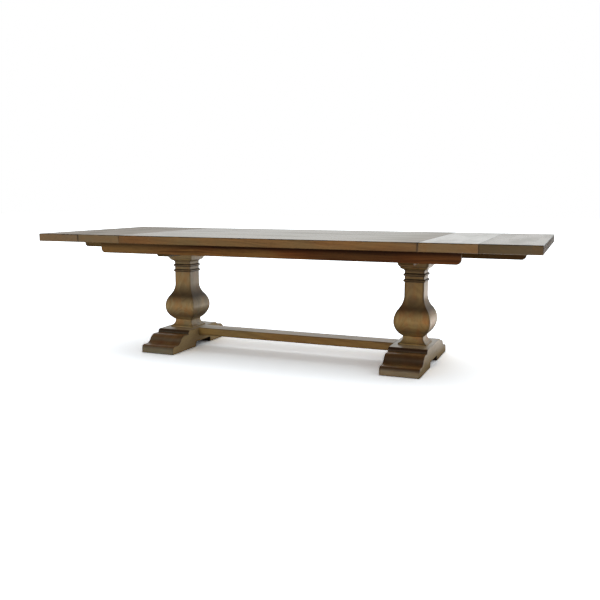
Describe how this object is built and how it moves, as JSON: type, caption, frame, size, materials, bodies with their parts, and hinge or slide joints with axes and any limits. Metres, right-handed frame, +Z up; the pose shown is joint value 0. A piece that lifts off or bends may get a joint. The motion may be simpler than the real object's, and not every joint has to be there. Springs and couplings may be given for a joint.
{
  "type": "extending trestle dining table",
  "caption": "Dining table with a thick plank top on square baluster pedestals and trestle feet joined by a low stretcher; loose end leaves rest on pull-out runners.",
  "frame": {"origin": "on the floor under the middle of the top", "axes": "+X along the table's length, +Y towards its back edge, +Z up"},
  "size_m": [3.048, 1.143, 0.762],
  "materials": {
    "top_wood": "waxed, worn at the edges",
    "end_board_wood": "waxed, cross grain",
    "leaf_wood": "waxed, cross grain",
    "frame_wood": "waxed",
    "pedestal_wood": "waxed, dark in the grooves",
    "hidden_wood": "bare",
    "zinc_steel": "zinc plated",
    "glide_plastic": "moulded"
  },
  "bodies": {
    "table_frame": {"main_top": "top_wood", "breadboard_pegs": "hidden_wood", "apron_front": "frame_wood", "apron_back": "frame_wood", "top_buttons": "hidden_wood", "button_screws": "zinc_steel", "bolster_screws": "zinc_steel", "stretcher": "pedestal_wood", "stretcher_screws": "zinc_steel", "tie_rods": "zinc_steel", "rod_nuts": "zinc_steel", "rod_washers": "zinc_steel", "foot_glides": "glide_plastic", "breadboard_left": "end_board_wood", "end_rail_left": "frame_wood", "cross_rail_left": "frame_wood", "inner_rail_left": "frame_wood", "bolster_left": "frame_wood", "column_left": "pedestal_wood", "foot_left": "pedestal_wood", "breadboard_right": "end_board_wood", "end_rail_right": "frame_wood", "cross_rail_right": "frame_wood", "inner_rail_right": "frame_wood", "bolster_right": "frame_wood", "column_right": "pedestal_wood", "foot_right": "pedestal_wood"},
    "front_left_runner": {"runner_front_left": "frame_wood", "runner_stop_front_left": "hidden_wood"},
    "back_left_runner": {"runner_back_left": "frame_wood", "runner_stop_back_left": "hidden_wood"},
    "left_leaf": {"leaf_left": "leaf_wood", "leaf_pins_left": "hidden_wood"},
    "front_right_runner": {"runner_front_right": "frame_wood", "runner_stop_front_right": "hidden_wood"},
    "back_right_runner": {"runner_back_right": "frame_wood", "runner_stop_back_right": "hidden_wood"},
    "right_leaf": {"leaf_right": "leaf_wood", "leaf_pins_right": "hidden_wood"}
  },
  "joints": [
    {"name": "front_left_runner_slide", "type": "slide", "parent": "table_frame", "child": "front_left_runner", "axis": [-1, 0, 0], "range_m": [-0.3048, 0]},
    {"name": "back_left_runner_slide", "type": "slide", "parent": "table_frame", "child": "back_left_runner", "axis": [-1, 0, 0], "range_m": [-0.3048, 0]},
    {"name": "left_leaf_pull", "type": "slide", "parent": "table_frame", "child": "left_leaf", "axis": [-1, 0, 0], "range_m": [0, 0.34]},
    {"name": "front_right_runner_slide", "type": "slide", "parent": "table_frame", "child": "front_right_runner", "axis": [1, 0, 0], "range_m": [-0.3048, 0]},
    {"name": "back_right_runner_slide", "type": "slide", "parent": "table_frame", "child": "back_right_runner", "axis": [1, 0, 0], "range_m": [-0.3048, 0]},
    {"name": "right_leaf_pull", "type": "slide", "parent": "table_frame", "child": "right_leaf", "axis": [1, 0, 0], "range_m": [0, 0.34]}
  ]
}
